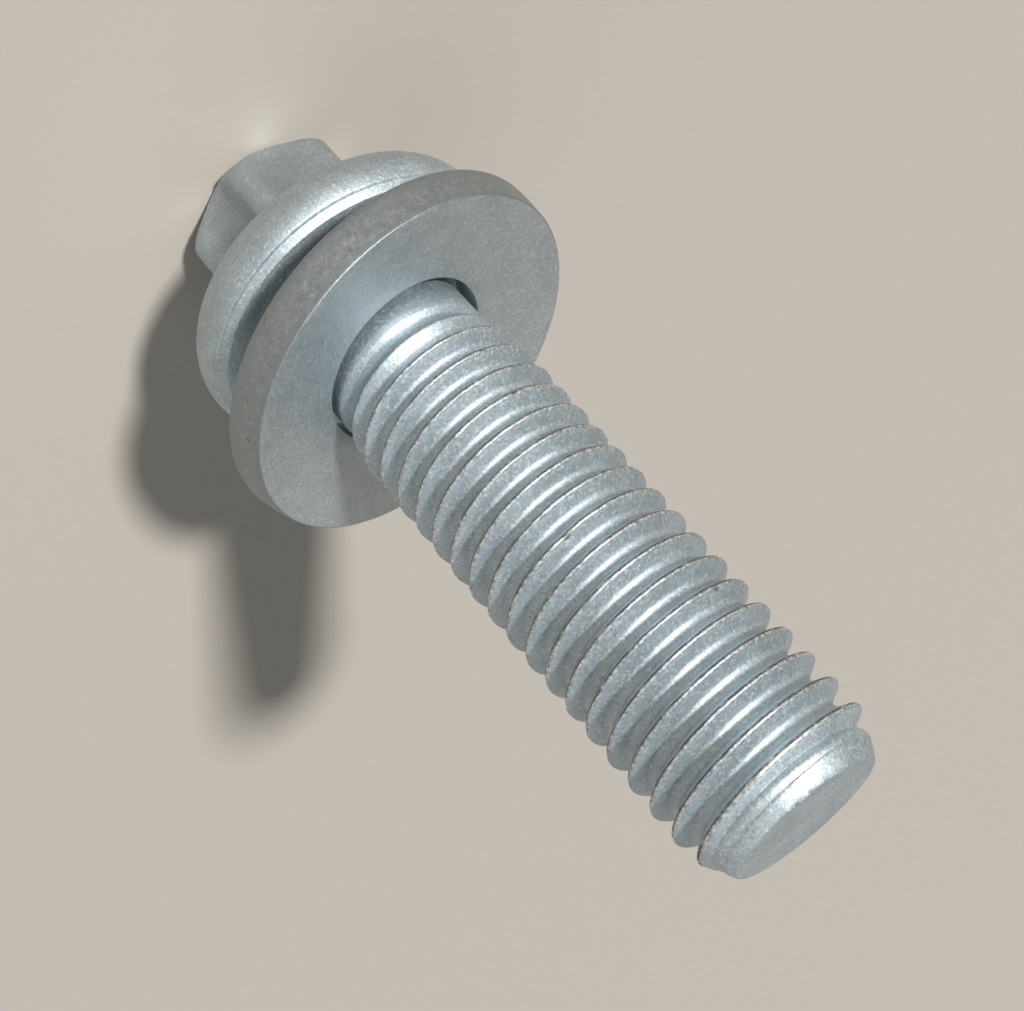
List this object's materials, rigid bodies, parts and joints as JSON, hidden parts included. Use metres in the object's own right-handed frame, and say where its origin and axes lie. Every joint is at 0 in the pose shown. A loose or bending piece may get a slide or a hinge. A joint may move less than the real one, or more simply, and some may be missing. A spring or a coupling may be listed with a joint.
{
  "type": "flange bolt",
  "caption": "Flange bolt with an outside lobed drive head, a rolled coarse thread and a loose coned washer held captive on its plain neck.",
  "frame": {"origin": "centre of the end of the head, on the bolt's axis, where the part stands on the floor", "axes": "+Z along the bolt's axis from the head to the tip, +X and +Y across it"},
  "size_m": [0.0207, 0.0206, 0.0452],
  "materials": {
    "bolt_coating": "matt silver-grey flake coating",
    "washer_coating": "matt grey flake coating, rough sheared rim"
  },
  "bodies": {
    "bolt": {"bolt": "bolt_coating"},
    "washer": {"washer": "washer_coating"}
  },
  "joints": [
    {"name": "washer_spin", "type": "hinge", "parent": "bolt", "child": "washer", "pos_m": [0.00029, 0, 0.01462], "axis": [-0.0653, 0.113, -0.9914], "continuous": true}
  ]
}
